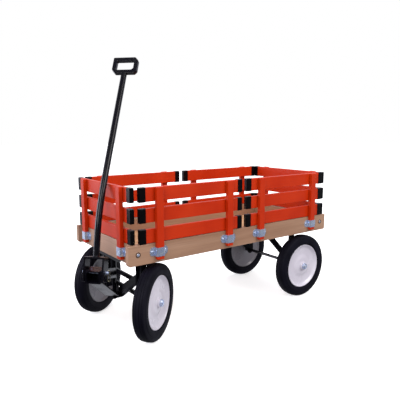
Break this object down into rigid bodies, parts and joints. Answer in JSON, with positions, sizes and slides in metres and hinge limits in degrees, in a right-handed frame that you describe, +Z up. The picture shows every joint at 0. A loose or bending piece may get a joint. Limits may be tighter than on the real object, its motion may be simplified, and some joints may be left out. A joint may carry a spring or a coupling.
{
  "type": "wagon with pull handle",
  "caption": "Child's stake-sided wooden wagon on disc wheels with steered front axle, lift-out slatted racks and a bent pull handle with stirrup grip.",
  "frame": {"origin": "on the ground under the middle of the whole wagon's bounding box", "axes": "+X towards the rear of the bed, +Y towards the far (right-hand) side, +Z up"},
  "size_m": [1.033, 0.4964, 0.9357],
  "materials": {
    "maple": "clear satin varnish over fine straight grain",
    "plywood": "clear satin varnish",
    "red_paint": "semi-gloss red-orange paint on wood",
    "tyre": "satin black rubber",
    "white_enamel": "gloss white enamel",
    "black_enamel": "gloss black enamel",
    "zinc_plate": "bright zinc plate",
    "black_plastic": "satin moulded plastic",
    "clip_wire": "yellow-passivated spring wire"
  },
  "bodies": {
    "bed_and_gear": {"side_board_near": "maple", "side_board_far": "maple", "front_board": "maple", "rear_board": "maple", "bed_floor": "plywood", "rack_front_slat_1": "red_paint", "rack_front_slat_2": "red_paint", "rack_front_slat_3": "red_paint", "rack_front_stake_1": "red_paint", "rack_front_stake_2": "red_paint", "rear_bracket_near": "black_enamel", "rear_bracket_far": "black_enamel", "rear_axle": "zinc_plate", "front_mount_plate": "black_enamel", "front_axle_frame": "black_enamel", "kingpin_near": "zinc_plate", "kingpin_far": "zinc_plate", "tongue_post": "black_enamel"},
    "knuckle_near": {"knuckle_near": "black_enamel"},
    "knuckle_far": {"knuckle_far": "black_enamel"},
    "tongue": {"tongue": "black_enamel"},
    "tie_rod_near": {"tie_rod_near": "black_enamel"},
    "tie_rod_far": {"tie_rod_far": "black_enamel"},
    "handle": {"handle_yoke": "black_enamel", "hitch_pin": "zinc_plate", "handle_tube": "black_enamel", "handle_grip": "black_enamel"},
    "wheel_front_near": {"tyre_front_near": "tyre", "wheel_disc_front_near": "white_enamel"},
    "wheel_front_far": {"tyre_front_far": "tyre", "wheel_disc_front_far": "white_enamel"},
    "wheel_rear_near": {"tyre_rear_near": "tyre", "wheel_disc_rear_near": "white_enamel"},
    "wheel_rear_far": {"tyre_rear_far": "tyre", "wheel_disc_rear_far": "white_enamel"},
    "rack_near_front": {"rack_near_front_slat_1": "red_paint", "rack_near_front_slat_2": "red_paint", "rack_near_front_slat_3": "red_paint", "rack_near_front_stake_1": "red_paint", "rack_near_front_stake_2": "red_paint"},
    "rack_near_rear": {"rack_near_rear_slat_1": "red_paint", "rack_near_rear_slat_2": "red_paint", "rack_near_rear_slat_3": "red_paint", "rack_near_rear_stake_1": "red_paint", "rack_near_rear_stake_2": "red_paint"},
    "rack_far_front": {"rack_far_front_slat_1": "red_paint", "rack_far_front_slat_2": "red_paint", "rack_far_front_slat_3": "red_paint", "rack_far_front_stake_1": "red_paint", "rack_far_front_stake_2": "red_paint"},
    "rack_far_rear": {"rack_far_rear_slat_1": "red_paint", "rack_far_rear_slat_2": "red_paint", "rack_far_rear_slat_3": "red_paint", "rack_far_rear_stake_1": "red_paint", "rack_far_rear_stake_2": "red_paint"},
    "rack_rear": {"rack_rear_slat_1": "red_paint", "rack_rear_slat_2": "red_paint", "rack_rear_slat_3": "red_paint", "rack_rear_stake_1": "red_paint", "rack_rear_stake_2": "red_paint"}
  },
  "joints": [
    {"name": "tongue_steer", "type": "hinge", "parent": "bed_and_gear", "child": "tongue", "pos_m": [-0.36392, 0.00272, 0.23], "axis": [0, 0, 1], "range_deg": [-86, 0]},
    {"name": "knuckle_near_steer", "type": "hinge", "parent": "bed_and_gear", "child": "knuckle_near", "pos_m": [-0.32592, -0.13328, 0.18], "axis": [0, 0, 1], "range_deg": [-65.6, 0.1]},
    {"name": "knuckle_far_steer", "type": "hinge", "parent": "bed_and_gear", "child": "knuckle_far", "pos_m": [-0.32592, 0.13872, 0.18], "axis": [0, 0, 1], "range_deg": [-65.6, 0.1]},
    {"name": "tie_rod_near_swing", "type": "hinge", "parent": "tongue", "child": "tie_rod_near", "pos_m": [-0.34001, 0.02502, 0.2375], "axis": [0, 0, 1], "range_deg": [-0.1, 86.3]},
    {"name": "tie_rod_far_swing", "type": "hinge", "parent": "tongue", "child": "tie_rod_far", "pos_m": [-0.34001, 0.02502, 0.2315], "axis": [0, 0, 1], "range_deg": [-0.1, 87.6]},
    {"name": "handle_lift", "type": "hinge", "parent": "tongue", "child": "handle", "pos_m": [-0.47509, -0.10095, 0.244], "axis": [0.682, -0.7314, 0], "range_deg": [0, 128.5]},
    {"name": "wheel_front_near_spin", "type": "hinge", "parent": "knuckle_near", "child": "wheel_front_near", "pos_m": [-0.30413, -0.16441, 0.127], "axis": [-0.5736, 0.8192, 0], "continuous": true},
    {"name": "wheel_front_far_spin", "type": "hinge", "parent": "knuckle_far", "child": "wheel_front_far", "pos_m": [-0.34521, 0.17146, 0.127], "axis": [-0.5075, 0.8616, 0], "continuous": true},
    {"name": "wheel_rear_near_spin", "type": "hinge", "parent": "bed_and_gear", "child": "wheel_rear_near", "pos_m": [0.38948, -0.17128, 0.127], "axis": [0, 1, 0], "continuous": true},
    {"name": "wheel_rear_far_spin", "type": "hinge", "parent": "bed_and_gear", "child": "wheel_rear_far", "pos_m": [0.38948, 0.17672, 0.127], "axis": [0, 1, 0], "continuous": true},
    {"name": "rack_near_front_lift", "type": "slide", "parent": "bed_and_gear", "child": "rack_near_front", "axis": [0, 0, 1], "range_m": [0, 0.06]},
    {"name": "rack_near_rear_lift", "type": "slide", "parent": "bed_and_gear", "child": "rack_near_rear", "axis": [0, 0, 1], "range_m": [0, 0.06]},
    {"name": "rack_far_front_lift", "type": "slide", "parent": "bed_and_gear", "child": "rack_far_front", "axis": [0, 0, 1], "range_m": [0, 0.06]},
    {"name": "rack_far_rear_lift", "type": "slide", "parent": "bed_and_gear", "child": "rack_far_rear", "axis": [0, 0, 1], "range_m": [0, 0.06]},
    {"name": "rack_rear_lift", "type": "slide", "parent": "bed_and_gear", "child": "rack_rear", "axis": [0, 0, 1], "range_m": [0, 0.06]}
  ],
  "couplings": [
    {"joint": "knuckle_near_steer", "follows": "tongue_steer", "ratio": 0.76163},
    {"joint": "knuckle_far_steer", "follows": "tongue_steer", "ratio": 0.76163},
    {"joint": "tie_rod_near_swing", "follows": "tongue_steer", "ratio": -1.0015},
    {"joint": "tie_rod_far_swing", "follows": "tongue_steer", "ratio": -1.0165}
  ]
}
